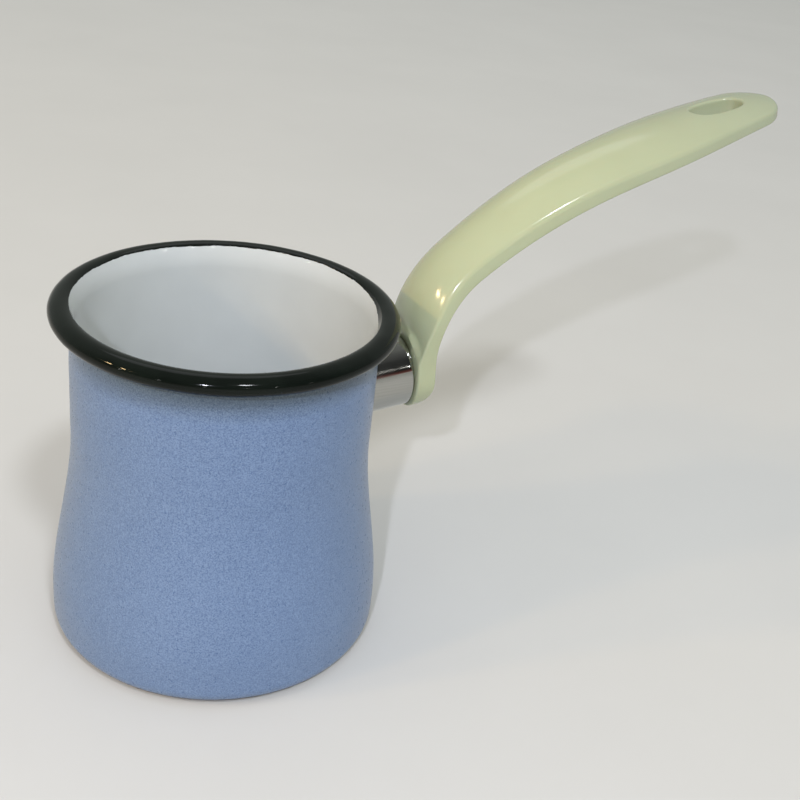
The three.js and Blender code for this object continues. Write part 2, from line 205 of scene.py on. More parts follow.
class StageSettings(bpy.types.PropertyGroup):
    """Camera, room and small lamps. Each lamp in LAMPS adds its own settings."""
    camera_place: place("Camera", "Where the camera stands", (-104.17, -257.83, 219.80))
    camera_aim: place("Aim", "What the camera looks at", (60.19, 7.44, 52.66))
    camera_roll: turn("Roll", "How far the camera leans", 7.21)
    glint_aim: place("Glint lamps", "Place near the rim that the small lamps stand round", (0, 0, 95))
    glint_reach: length("Glint lamp reach", "How far from it they stand", 900)
    glint_size: length("Glint lamp size", "Diameter of each", 20)
    glint_power: power("Glint lamp power", 0.07)
    glint_colour: colour("Glint lamp colour", "Neutral", (1.0, 0.98, 0.94))
    ambient_bright: colour("Room light, bright side", "Light from above and from the camera's side",
                           (0.76, 0.77, 0.735))
    ambient_dim: colour("Room light, dim side", "Light from low down at the far side", (0.25, 0.255, 0.245))
    background: colour("Background", "What lies behind the table", (0.60, 0.605, 0.575))


POT_MIDDLE = (0, 0, 60)
# Each lamp's use, its place, what it is turned towards, its diameter, its power and its colour.
LAMPS = {
    "front_lamp": ("Small, above the camera, to shade the handle on the table",
                   (-307, -448, 443), (180, 80, 200), 22, 2.0, (0.84, 0.86, 1.0)),
    "far_lamp": ("Large and soft, over the far side of the table",
                 (250, 950, 1300), (250, 950, 0), 900, 1.7, (0.94, 0.95, 1.0)),
    "key_lamp": ("Softer, far above the camera, to shade the wall under the rim",
                 (-322, -3680, 4848), POT_MIDDLE, 700, 112.0, (0.92, 0.94, 1.0)),
    "warm_lamp_0": ("Low at the left", (-1307, -70, 716), POT_MIDDLE, 100, 3.0, (1.0, 0.70, 0.36)),
    "warm_lamp_1": ("Low at the left", (-1307, 230, 716), POT_MIDDLE, 100, 3.0, (1.0, 0.70, 0.36)),
}


def add_lamp_settings(name, words, at, aim, size, watts, rgb):
    label = name.replace("_", " ").capitalize()
    StageSettings.__annotations__.update({
        f"{name}_place": place(label, words, at),
        f"{name}_aim": place(f"{label} aim", "What it is turned towards", aim),
        f"{name}_size": length(f"{label} size", "Its diameter", size),
        f"{name}_power": power(f"{label} power", watts),
        f"{name}_colour": colour(f"{label} colour", "Colour of its light", rgb),
    })


for lamp_name, lamp_values in LAMPS.items():
    add_lamp_settings(lamp_name, *lamp_values)

GROUPS = {
    "pot_vessel": VesselSizes,
    "pot_rim": RimSizes,
    "pot_ferrule": FerruleSizes,
    "pot_handle": HandleSizes,
    "pot_screw": ScrewSizes,
    "pot_finish": Finishes,
    "pot_stage": StageSettings,
}

# Steps round a turned piece, the angle past which an edge is sharp, and lengths below which points and
# edges merge.
ROUND_STEPS = 160
SHARP = math.radians(38)
WELD = 1e-7
SLIVER = 1e-8


def round_angles(steps):
    return [2 * math.pi * i / steps for i in range(steps)]


def evenly(start, end, steps):
    """Values from start to end, both included."""
    return [start + (end - start) * i / steps for i in range(steps + 1)]


def smooth_step(x):
    """Rises from 0 to 1 with a soft start and a soft end."""
    x = min(max(x, 0.0), 1.0)
    return x * x * (3 - 2 * x)


def quarter_round(x):
    """Rises from 0 to 1 as a quarter circle does."""
    x = min(max(x, 0.0), 1.0)
    return math.sqrt(1 - (1 - x) ** 2)


def new_object(name, mesh, slot, material, *nodes):
    """Links a finished mesh as a piece that rides on the part and stands for some of its nodes."""
    piece = bpy.data.objects.new(name, mesh)
    bpy.context.scene.collection.objects.link(piece)
    mesh.materials.append(material)
    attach(piece, "root")
    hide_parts(*nodes)


def finish_mesh(name, bm):
    """Welds, orients and smooths a bmesh, with its real corners kept sharp."""
    bmesh.ops.remove_doubles(bm, verts=bm.verts, dist=WELD)
    bmesh.ops.dissolve_degenerate(bm, edges=bm.edges, dist=SLIVER)
    bmesh.ops.recalc_face_normals(bm, faces=bm.faces)
    for face in bm.faces:
        face.smooth = True
    for edge in bm.edges:
        edge.smooth = len(edge.link_faces) == 2 and edge.calc_face_angle(0) < SHARP
    mesh = bpy.data.meshes.new(name)
    bm.to_mesh(mesh)
    bm.free()
    return mesh


def skin(bm, rings, closed=True, joined=False):
    """Joins rings of vertices with quads. Joined rings come back from the last to the first."""
    count = len(rings[0])
    last_ring = len(rings) if joined else len(rings) - 1
    last_point = count if closed else count - 1
    for i in range(last_ring):
        ring, after = rings[i], rings[(i + 1) % len(rings)]
        for j in range(last_point):
            k = (j + 1) % count
            bm.faces.new([ring[j], ring[k], after[k], after[j]])


def spin(bm, outline_at, steps, closed=True):
    """Turns an outline about Z. The outline may change with the direction round the axis."""
    rings = []
    for direction in round_angles(steps):
        c, s = math.cos(direction), math.sin(direction)
        rings.append([bm.verts.new((r * c, r * s, z)) for r, z in outline_at(direction)])
    skin(bm, rings, closed, joined=True)


def turned(name, outline_at, steps=ROUND_STEPS):
    bm = bmesh.new()
    spin(bm, outline_at, steps)
    return finish_mesh(name, bm)


def oval_arc(centre, half_width, half_height, start, end, steps):
    return [(centre[0] + half_width * math.cos(angle), centre[1] + half_height * math.sin(angle))
            for angle in evenly(start, end, steps)]


class Wall:
    """The vessel's outlines: its wall at any depth in from the outside, and its rolled rim."""

    GROUND_STEPS = 4
    CORNER_STEPS = 6
    SHOULDER_STEPS = 26
    NECK_STEPS = 8
    # How far below the bead's middle the mouth's steep inside runs out into the wall.
    BLEND_DROP = 4 * MM
    # Waves round the coat's edge and along the bead: how many, how large and where they start.
    EDGE_WAVES = ((5, 0.42, 1.1), (9, 0.35, 0.4), (17, 0.36, 2.3), (37, 0.22, 0.3), (61, 0.2, 1.7),
                  (113, 0.2, 0.0), (151, 0.14, 0.5))
    BEAD_WAVES = ((7, 1.0 / 2.4, 0.6), (13, 0.8 / 2.4, 1.9), (29, 0.6 / 2.4, 0.0))

    def __init__(self, vessel, rim):
        self.vessel = vessel
        self.rim = rim
        self.neck_radius = vessel.belly_radius - vessel.shoulder_inset
        self.steel = vessel.enamel_coat
        self.white = vessel.enamel_coat + vessel.steel_sheet
        self.inside = self.white + vessel.enamel_coat
        self.bead_height = vessel.pot_height - rim.half_height
        self.bead_centre = self.neck_radius - vessel.mouth_draw - self.inside + rim.half_width
        self.white_end = rim.coat_edge - rim.coat_lap
        self.blend_angle = math.pi + self.BLEND_DROP / rim.half_height

    def radius_below_bead(self, drop):
        draw = self.vessel.mouth_draw * max(0.0, 1 - drop / self.vessel.draw_length)
        return self.neck_radius - draw

    def corner(self, depth, start, end, steps):
        v = self.vessel
        centre = (v.belly_radius - v.base_corner, v.base_corner)
        return oval_arc(centre, v.base_corner - depth, v.base_corner - depth, start, end, steps)

    def ground_edge(self, depth):
        """Round the base corner as far as the ground coat goes."""
        return self.corner(depth, -math.pi / 2, self.vessel.ground_turn - math.pi / 2, self.GROUND_STEPS)

    def floor(self, depth):
        """From the axis out to just short of the ground coat's edge."""
        return [(0, depth), *self.ground_edge(depth)[:-1]]

    def side(self, depth, last_drop):
        """From the ground coat's edge up the wall to a drop below the bead's middle."""
        v = self.vessel
        points = self.corner(depth, v.ground_turn - math.pi / 2, 0, self.CORNER_STEPS)
        bottom = Vector((v.belly_radius, v.belly_height))
        top = Vector((self.neck_radius, v.pot_height - v.neck_length))
        pull_up = bottom + Vector((0, v.belly_pull))
        pull_down = top - Vector((0, v.neck_pull))
        for t in evenly(0, 1, self.SHOULDER_STEPS):
            u = 1 - t
            point = u**3 * bottom + 3 * u * u * t * pull_up + 3 * u * t * t * pull_down + t**3 * top
            along = u * u * (pull_up - bottom) + 2 * u * t * (pull_down - pull_up)
            along += t * t * (top - pull_down)
            along.normalize()
            points.append((point.x - along.y * depth, point.y + along.x * depth))
        for drop in evenly(v.draw_length, last_drop, self.NECK_STEPS):
            points.append((self.radius_below_bead(drop) - depth, self.bead_height - drop))
        return points

    def bead(self, depth, start, end, steps):
        """Round the bead, 0 pointing outwards, 90 degrees up and 180 in, and on down the inside wall."""
        return [self.bead_point(depth, angle) for angle in evenly(start, end, steps)]

    def bead_point(self, depth, angle):
        """A point of the bead, or past its lip a point of the steep inside of the mouth."""
        r = self.rim
        half_width, half_height = r.half_width - depth, r.half_height - depth

        def on_bead(a):
            return self.bead_centre + half_width * math.cos(a), self.bead_height + half_height * math.sin(a)

        if angle <= r.lip_turn:
            return on_bead(angle)
        lip_radius, lip_height = on_bead(r.lip_turn)
        foot_height = self.bead_height - self.BLEND_DROP
        foot_radius = self.radius_below_bead(self.BLEND_DROP) - self.inside + depth
        if angle <= math.pi:
            height = on_bead(angle)[1]
        else:
            height = self.bead_height - (angle - math.pi) * r.half_height
        rise = max(0.0, (height - foot_height) / (lip_height - foot_height))
        return foot_radius + (lip_radius - foot_radius) * rise**2, height

    @staticmethod
    def ripple(waves, direction):
        return sum(size * math.sin(count * direction + start) for count, size, start in waves)

    def coat_edge(self, direction):
        """Where the black coat meets the white one in a direction round the rim."""
        r = self.rim
        away = (direction - r.sag_side + math.pi) % (2 * math.pi) - math.pi
        sag = r.coat_sag * math.exp(-((away / r.sag_spread) ** 2))
        return r.coat_edge + sag + r.edge_ripple * self.ripple(self.EDGE_WAVES, direction)

    def bead_wave(self, direction):
        return self.rim.bead_ripple * self.ripple(self.BEAD_WAVES, direction)


def steel_shell_mesh(wall):
    """The drawn and rolled sheet that carries the enamel."""
    curl_steps, bead_steps = 20, 36
    curl_end = wall.rim.curl_end
    outline = [
        *wall.floor(wall.steel),
        *wall.side(wall.steel, wall.rim.half_height),
        *wall.bead(wall.white, math.pi, curl_end, curl_steps),
        *reversed(wall.bead(wall.steel, wall.blend_angle, curl_end, bead_steps)),
        *reversed(wall.side(wall.white, wall.BLEND_DROP + MM)),
        *reversed(wall.floor(wall.white)),
    ]
    return turned("vessel_steel", lambda direction: outline)


def blue_coat_mesh(wall):
    top_drop = wall.rim.half_height
    outline = [*wall.side(0, top_drop), *reversed(wall.side(wall.steel, top_drop))]
    return turned("blue_coat", lambda direction: outline)


def ground_coat_mesh(wall):
    outline = [(0, 0), *wall.ground_edge(0), *reversed(wall.ground_edge(wall.steel)), (0, wall.steel)]
    return turned("ground_coat", lambda direction: outline)


def white_coat_mesh(wall):
    mouth_steps = 16
    last_drop = wall.BLEND_DROP + MM
    outline = [
        *wall.floor(wall.white),
        *wall.side(wall.white, last_drop),
        *wall.bead(wall.steel, wall.blend_angle, wall.white_end, mouth_steps),
        *reversed(wall.bead(0, wall.blend_angle, wall.white_end, mouth_steps)),
        *reversed(wall.side(wall.inside, last_drop)),
        *reversed(wall.floor(wall.inside)),
    ]
    return turned("white_coat", lambda direction: outline)


def black_coat_mesh(wall):
    """The rim's coat, with a soft edge that stands a little proud of the white and an uneven surface."""
    r = wall.rim
    front_steps, lap_steps, back_steps = 36, 6, 10
    crowding = 1.35
    clear = 0.02 * MM
    step_angle = math.radians(1.5)
    edge_rounding = math.radians(5)
    wave_fade = math.radians(60)

    def outline(direction):
        edge = wall.coat_edge(direction)
        wave = wall.bead_wave(direction)
        back = wall.bead(-clear, edge, wall.white_end - step_angle, lap_steps)
        back += wall.bead(wall.steel, wall.white_end - step_angle, r.curl_end, back_steps)
        front = []
        for i in range(front_steps + 1):
            angle = edge + (r.curl_end - edge) * (i / front_steps) ** crowding
            proud = r.coat_proud * quarter_round((edge - angle) / edge_rounding)
            proud += wave * min(1.0, (edge - angle) / wave_fade)
            front.append(wall.bead_point(-clear - proud, angle))
        return [*back, *reversed(front)]

    return turned("black_coat", outline, 3 * ROUND_STEPS)


class FerruleFrame:
    """The ferrule's own frame: X across, Y up and Z out along its axis, from its outer end's middle."""

    def __init__(self, ferrule, wall):
        c, s = math.cos(ferrule.tilt), math.sin(ferrule.tilt)
        self.across = Vector((0, 1, 0))
        self.up = Vector((-s, 0, c))
        self.out = Vector((c, 0, s))
        height = wall.vessel.pot_height - ferrule.drop
        self.origin = Vector((wall.neck_radius + ferrule.reach, 0, height))

    def point(self, across, up, out):
        return self.origin + self.across * across + self.up * up + self.out * out


def ferrule_mesh(ferrule, wall):
    """A drawn oval tube whose inner end is coped to the round wall."""
    base = FerruleFrame(ferrule, wall)
    round_steps, outer_steps, edge_steps, inner_steps = 120, 10, 4, 3
    search_depth, search_steps = 30 * MM, 40

    def wall_start(across, up):
        """How far in along the axis the tube meets the wall, found by halving."""
        near, far = -search_depth, 0.0
        for _ in range(search_steps):
            middle = (near + far) / 2
            p = base.point(across, up, middle)
            clear = wall.radius_below_bead(wall.bead_height - p.z) + ferrule.seat_gap
            near, far = (middle, far) if math.hypot(p.x, p.y) < clear else (near, middle)
        return far

    bm = bmesh.new()
    rings = []
    for angle in round_angles(round_steps):
        c, s = math.cos(angle), math.sin(angle)
        normal = Vector((c * ferrule.half_height, s * ferrule.half_width)).normalized()
        outer = Vector((ferrule.half_width * c, ferrule.half_height * s))
        inner = outer - normal * ferrule.wall
        start = wall_start(*outer)
        outline = [base.point(*outer, out) for out in evenly(start, -ferrule.edge, outer_steps)]
        for bend in evenly(0, math.pi / 2, edge_steps)[1:]:
            inset = outer - normal * ferrule.edge * (1 - math.cos(bend))
            outline.append(base.point(*inset, -ferrule.edge * (1 - math.sin(bend))))
        outline += [base.point(*inner, out) for out in evenly(0, wall_start(*inner), inner_steps)]
        rings.append([bm.verts.new(p) for p in outline])
    skin(bm, rings, joined=True)
    return finish_mesh("bright_ferrule", bm)


class HandleForm:
    """The handle's spine, its section at each run along it, and its faces over run and width."""

    # Half width, side band in front of the spine and behind it, crown and belly, in millimetres.
    STATIONS = (
        ("foot", 10.0, 3.05, 3.0, 0.0, 0.4),
        ("foot top", 10.3, 2.75, 2.85, 0.2, 0.6),
        ("collar top", 10.8, 1.95, 2.6, 0.9, 0.8),
        ("neck", 11.3, 1.5, 2.4, 2.5, 1.0),
        ("knee", 10.8, 1.9, 2.7, 3.8, 1.2),
        ("arm", 13.0, 2.3, 2.2, 5.2, 1.2),
        ("paddle", 14.4, 1.8, 2.1, 4.2, 1.0),
        ("tip", 10.2, 1.3, 1.9, 1.0, 0.6),
    )
    # The lip by the ferrule starts to fade this far inside its edge, over this width.
    LIP_FADE_START, LIP_FADE = 0.5 * MM, 1.7 * MM
    FOOT_FADE = 9 * MM
    END_STEPS, MIDDLE_STEPS = 60, 400
    TINY = 1e-6

    def __init__(self, handle, ferrule, wall):
        h = handle
        self.handle = h
        self.ferrule = ferrule
        self.base = FerruleFrame(ferrule, wall)
        self.sections = np.array([row[1:] for row in self.STATIONS]) * MM
        self.foot_bottom = ferrule.half_height + h.foot_clear
        self.parts = (
            (h.foot_length, 0.0),
            (h.neck_bend, h.neck_turn),
            (h.knee, h.knee_turn),
            (h.arm, h.arm_turn),
            (h.tail, h.tail_turn),
        )
        self.length = sum(part[0] for part in self.parts)
        self.tip_span = self.sections[-1, 0]
        self.collar_top = 2 * self.foot_bottom
        self.knee_end = h.foot_length + h.neck_bend + h.knee
        self.runs = np.array([
            0.0,
            h.foot_length,
            self.collar_top,
            h.foot_length + h.neck_bend,
            self.knee_end,
            self.knee_end + h.arm,
            self.knee_end + h.arm + h.paddle_share * h.tail,
            self.length,
        ])
        self.slopes = self.station_slopes()
        self.first_run = self.foot_bottom - ferrule.half_height - h.foot_under
        self.start = self.base.point(0, -self.foot_bottom, ferrule.seat_gap + self.sections[0, 1])

    def spine(self, run):
        """Point on the spine and the way it heads, 0 pointing along X and 90 degrees up."""
        x, z = self.start.x, self.start.z
        heading = math.pi / 2 + self.ferrule.tilt
        left = run
        for i, (part_length, part_turn) in enumerate(self.parts):
            piece = left if i == 0 and left < 0 else min(left, part_length)
            turned_by = part_turn * piece / part_length
            chord = piece if turned_by == 0 else 2 * math.sin(turned_by / 2) * piece / turned_by
            x += chord * math.cos(heading - turned_by / 2)
            z += chord * math.sin(heading - turned_by / 2)
            heading -= turned_by
            left -= piece
            if left <= 0:
                break
        return x, z, heading

    def station_slopes(self):
        """How fast the section changes at each station, with no curvature at either end."""
        t, p = self.runs[:, None], self.sections
        straight = np.diff(p, axis=0) / np.diff(t, axis=0)
        inner = (p[2:] - p[:-2]) / (t[2:] - t[:-2])
        return np.vstack([(3 * straight[0] - inner[0]) / 2, inner, (3 * straight[-1] - inner[-1]) / 2])

    def section(self, run):
        """The section at a run, on a smooth curve through the stations."""
        t, p = self.runs, self.sections
        run = np.clip(run, t[0], t[-1])
        i = int(np.clip(np.searchsorted(t, run, side="right"), 1, len(t) - 1))
        span = t[i] - t[i - 1]
        x = (run - t[i - 1]) / span
        a = 2 * x**3 - 3 * x**2 + 1
        b = x**3 - 2 * x**2 + x
        c = x**3 - x**2
        return a * p[i - 1] + (1 - a) * p[i] + span * (b * self.slopes[i - 1] + c * self.slopes[i])

    def roundness(self, run):
        """Share of its full width that the handle has near its two round ends."""
        foot = quarter_round((run - self.first_run) / (self.foot_bottom - self.first_run))
        return foot * quarter_round((self.length - run) / self.tip_span)

    def half_width(self, run):
        return self.section(run)[0] * self.roundness(run)

    def swell(self, run, across, width, crown):
        """Rise of a crowned face over its side band."""
        full = self.roundness(run)
        f = min(abs(across) / max(width * full, self.TINY), 1.0)
        return crown * full * (1 - f * f)

    def top(self, run, across):
        """Height of the crowned face, with the lip that meets the ferrule."""
        width, band, _, crown, _ = self.section(run)
        height = band + self.swell(run, across, width, crown)
        x, z, heading = self.spine(run)
        rel = Vector((x, 0, z)) - self.base.origin
        normal = Vector((-math.sin(heading), 0, math.cos(heading)))
        plane = (self.ferrule.seat_gap - rel.dot(self.base.out)) / normal.dot(self.base.out)
        up = rel.dot(self.base.up) + plane * normal.dot(self.base.up)
        half_up = self.ferrule.half_height + self.handle.lip + self.handle.lip_top
        half_across = self.ferrule.half_width + self.handle.lip + self.handle.lip_side
        ratio = max(math.hypot(across / half_across, max(up, 0.0) / half_up), self.TINY)
        outside = (ratio - 1) * math.hypot(across, max(up, 0.0)) / ratio
        if plane > 0 and up > -half_up:
            lip = 1 - smooth_step((outside + self.LIP_FADE_START) / self.LIP_FADE)
            height += max(plane - height, 0.0) * lip
        return height

    def under(self, run, across):
        """Height of the shallow back face, downwards from the spine."""
        width, _, band, _, belly = self.section(run)
        return band + self.swell(run, across, width, belly)

    def point(self, run, across, height):
        x, z, heading = self.spine(run)
        return Vector((x - math.sin(heading) * height, across, z + math.cos(heading) * height))

    def outline(self, spacing):
        """The plan's closed edge, evenly spaced."""
        ease = [1 - math.cos(math.pi / 2 * i / self.END_STEPS) for i in range(self.END_STEPS)]
        foot_span = self.foot_bottom - self.first_run
        runs = [self.first_run + foot_span * e for e in ease]
        runs += list(np.linspace(self.foot_bottom, self.length - self.tip_span, self.MIDDLE_STEPS))
        runs += [self.length - self.tip_span * e for e in reversed(ease)]
        upper = [(run, self.half_width(run)) for run in runs]
        loop = np.array(upper + [(run, -width) for run, width in reversed(upper[1:-1])])
        closed = np.vstack([loop, loop[:1]])
        travel = np.concatenate([[0], np.cumsum(np.hypot(*np.diff(closed, axis=0).T))])
        at = np.linspace(0, travel[-1], int(travel[-1] / spacing), endpoint=False)
        return np.stack([np.interp(at, travel, closed[:, 0]), np.interp(at, travel, closed[:, 1])], 1)

    def front_edge(self, run):
        """Rounding at the edge of the crowned face, small at the foot and at most half of the side band."""
        h = self.handle
        _, front, back, _, _ = self.section(run)
        past_collar = smooth_step((run - self.collar_top) / (self.knee_end - self.collar_top))
        return min(h.edge + (h.front_edge - h.edge) * past_collar, (front + back) / 2)

    def back_edge(self, run):
        """Rounding at the edge of the back face, large at the foot's end."""
        h = self.handle
        near_end = 1 - smooth_step((run - self.first_run) / self.FOOT_FADE)
        return h.edge + (h.foot_edge - h.edge) * near_end


def plan_oval(middle, half_length, half_width, steps, fullness=1.0):
    """A closed oval on the handle's plan, fuller than an ellipse where its fullness is below 1."""
    def fuller(x):
        return math.copysign(abs(x) ** fullness, x)

    return np.array([(middle + half_length * fuller(math.cos(angle)), half_width * fuller(math.sin(angle)))
                     for angle in round_angles(steps)])


def loop_normals(loop):
    """Unit normals of a closed plan loop, to the left of the way it runs."""
    along = np.roll(loop, -1, axis=0) - np.roll(loop, 1, axis=0)
    along /= np.hypot(*along.T)[:, None]
    return np.stack([-along[:, 1], along[:, 0]], 1)


def loop_area(loop):
    """Area inside a plan loop, negative where the loop runs clockwise."""
    after = np.roll(loop, -1, axis=0)
    return np.sum(loop[:, 0] * after[:, 1] - after[:, 0] * loop[:, 1]) / 2


def inside_loop(points, loop):
    x, y = points[:, 0][:, None], points[:, 1][:, None]
    x0, y0 = loop[:, 0][None], loop[:, 1][None]
    x1, y1 = np.roll(loop[:, 0], -1)[None], np.roll(loop[:, 1], -1)[None]
    crosses = (y0 > y) != (y1 > y)
    rise = np.where(crosses, y1 - y0, 1.0)
    hits = crosses & (x < (x1 - x0) * (y - y0) / rise + x0)
    return hits.sum(1) % 2 == 1


def fill_plan(outer, holes, spacing):
    """Triangles over a plan between its edge and its holes, with even points in between."""
    edge_clearance = 0.55 * spacing
    solver_scale, solver_weld = 1000.0, 1e-6

    def on_plan(points):
        keep = inside_loop(points, outer)
        for loop in holes:
            keep &= ~inside_loop(points, loop)
        return keep

    low, high = outer.min(0), outer.max(0)
    grid = []
    for i, y in enumerate(np.arange(low[1], high[1], spacing * math.sqrt(3) / 2)):
        x = np.arange(low[0] + (i % 2) * spacing / 2, high[0], spacing)
        grid.append(np.stack([x, np.full_like(x, y)], 1))
    grid = np.vstack(grid)
    keep = on_plan(grid)
    edges = []
    start = 0
    for loop in (outer, *holes):
        gap = np.hypot(grid[:, None, 0] - loop[None, :, 0], grid[:, None, 1] - loop[None, :, 1])
        keep &= gap.min(axis=1) > edge_clearance
        count = len(loop)
        edges += [(start + i, start + (i + 1) % count) for i in range(count)]
        start += count
    points = np.vstack([outer, *holes, grid[keep]])
    spread = [Vector(p) * solver_scale for p in points]
    _, _, faces, origin, _, _ = delaunay_2d_cdt(spread, edges, [], 0, solver_weld)
    triangles = np.array([[origin[corner][0] for corner in face] for face in faces])
    return points, triangles[on_plan(points[triangles].mean(1))]


def handle_mesh(form):
    """The moulded handle, closed all round: crown, side band, back, hanging hole and screw pocket."""
    h = form.handle
    face_spacing, outline_spacing = 0.95 * MM, 0.8 * MM
    hole_steps, pocket_steps, edge_steps = 64, 48, 6
    hole_fullness = 0.8
    bm = bmesh.new()
    outline = form.outline(outline_spacing)
    if loop_area(outline) < 0:
        outline = outline[::-1].copy()
    hole = plan_oval(form.length - h.hole_from_tip, h.hole_length / 2, h.hole_width / 2, hole_steps,
                     hole_fullness)
    pocket = plan_oval(form.foot_bottom, h.pocket_radius, h.pocket_radius, pocket_steps)

    def edge_rings(loop, normals, radius_at, face, sign):
        """Rings of the rounding between a side wall and a face, with each ring's plan."""
        rings, plans = [], []
        for bend in evenly(0, math.pi / 2, edge_steps):
            ring, plan = [], []
            for p, n in zip(loop, normals):
                radius = radius_at(p[0])
                q = p + n * radius * (1 - math.cos(bend))
                drop = radius * (1 - math.sin(bend))
                ring.append(bm.verts.new(form.point(*q, sign * (face(*q) - drop))))
                plan.append(q)
            rings.append(ring)
            plans.append(np.array(plan))
        skin(bm, rings)
        return rings, plans

    def cover(rings_and_plans, face, sign):
        """Fills a face between the last rings of its edges."""
        loops = [plans[-1] for _, plans in rings_and_plans]
        points, triangles = fill_plan(loops[0], loops[1:], face_spacing)
        verts = [v for rings, _ in rings_and_plans for v in rings[-1]]
        for p in points[len(verts):]:
            verts.append(bm.verts.new(form.point(*p, sign * face(*p))))
        for triangle in triangles:
            bm.faces.new([verts[corner] for corner in triangle])

    def hole_edge(run):
        return h.hole_edge

    def pocket_edge(run):
        return h.pocket_edge

    inward, outward = loop_normals(outline), -loop_normals(hole)
    top_side = edge_rings(outline, inward, form.front_edge, form.top, 1)
    top_hole = edge_rings(hole, outward, hole_edge, form.top, 1)
    back_side = edge_rings(outline, inward, form.back_edge, form.under, -1)
    back_hole = edge_rings(hole, outward, hole_edge, form.under, -1)
    back_pocket = edge_rings(pocket, -loop_normals(pocket), pocket_edge, form.under, -1)
    skin(bm, [top_side[0][0], back_side[0][0]])
    skin(bm, [top_hole[0][0], back_hole[0][0]])
    floor_height = form.sections[0, 1] - (h.pocket_floor - form.ferrule.seat_gap)
    floor = [bm.verts.new(form.point(*p, floor_height)) for p in pocket]
    skin(bm, [back_pocket[0][0], floor])
    bm.faces.new(floor)
    cover([top_side, top_hole], form.top, 1)
    cover([back_side, back_hole, back_pocket], form.under, -1)
    return finish_mesh("moulded_handle", bm)


def screw_mesh(screw, ferrule, wall):
    """A slotted round-headed screw along the ferrule's axis."""
    round_steps, dome_steps = 64, 8
    spare = MM
    half = screw.head_height / 2
    outline = [
        (0, -screw.shank_length),
        (screw.shank - screw.shank_chamfer, -screw.shank_length),
        (screw.shank, -screw.shank_length + screw.shank_chamfer),
        (screw.shank, 0),
        (screw.head - screw.head_chamfer, 0),
        (screw.head, screw.head_chamfer),
        *oval_arc((screw.head - half, half), half, half, 0, math.pi / 2, dome_steps),
        (0, screw.head_height),
    ]
    body = bmesh.new()
    spin(body, lambda direction: outline, round_steps, closed=False)
    bmesh.ops.remove_doubles(body, verts=body.verts, dist=WELD)
    bmesh.ops.recalc_face_normals(body, faces=body.faces)
    slot = bmesh.new()
    size = Vector((2 * screw.head + 2 * spare, screw.slot_width, screw.slot_depth + spare))
    at = Matrix.Translation((0, 0, screw.head_height - screw.slot_depth / 2 + spare / 2))
    bmesh.ops.create_cube(slot, size=1, matrix=at @ Matrix.Diagonal((*size, 1)))
    blanks = []
    for name, bm in (("screw_body", body), ("screw_slot", slot)):
        mesh = bpy.data.meshes.new(name)
        bm.to_mesh(mesh)
        bm.free()
        blanks.append(bpy.data.objects.new(name, mesh))
        bpy.context.scene.collection.objects.link(blanks[-1])
    cut = blanks[0].modifiers.new("slot", "BOOLEAN")
    cut.operation = "DIFFERENCE"
    cut.object = blanks[1]
    cut.solver = "EXACT"
    bpy.context.view_layer.update()
    slotted = blanks[0].evaluated_get(bpy.context.evaluated_depsgraph_get())
    bm = bmesh.new()
    bm.from_mesh(slotted.to_mesh())
    slotted.to_mesh_clear()
    for blank in blanks:
        bpy.data.objects.remove(blank)
    base = FerruleFrame(ferrule, wall)
    seat = Matrix((base.across, base.up, base.out)).transposed().to_4x4()
    seat.translation = base.point(0, 0, screw.head_seat)
    bm.transform(seat)
    return finish_mesh("slotted_screw", bm)


def add_node(tree, kind, inputs, output=None, **settings):
    """Adds a shader node and gives one of its outputs. Each input is a value or another node's output."""
    node = tree.nodes.new("ShaderNode" + kind)
    for name, value in settings.items():
        setattr(node, name, value)
    for socket, value in inputs.items():
        if isinstance(value, bpy.types.NodeSocket):
            tree.links.new(value, node.inputs[socket])
        else:
            node.inputs[socket].default_value = value
    return None if output is None else node.outputs[output]


def add_ramp(tree, value, stops):
    """Colours at stops along a value from 0 to 1."""
    node = tree.nodes.new("ShaderNodeValToRGB")
    elements = node.color_ramp.elements
    elements.remove(elements[1])
    for i, (at, rgb) in enumerate(stops):
        stop = elements[0] if i == 0 else elements.new(at)
        stop.position = at
        stop.color = (*rgb, 1)
    tree.links.new(value, node.inputs["Fac"])
    return node.outputs["Color"]


def add_range(tree, value, low, high, to_low=0.0, to_high=1.0):
    """Stretches a value from one range to another."""
    limits = {"From Min": low, "From Max": high, "To Min": to_low, "To Max": to_high}
    return add_node(tree, "MapRange", {"Value": value, **limits}, "Result")


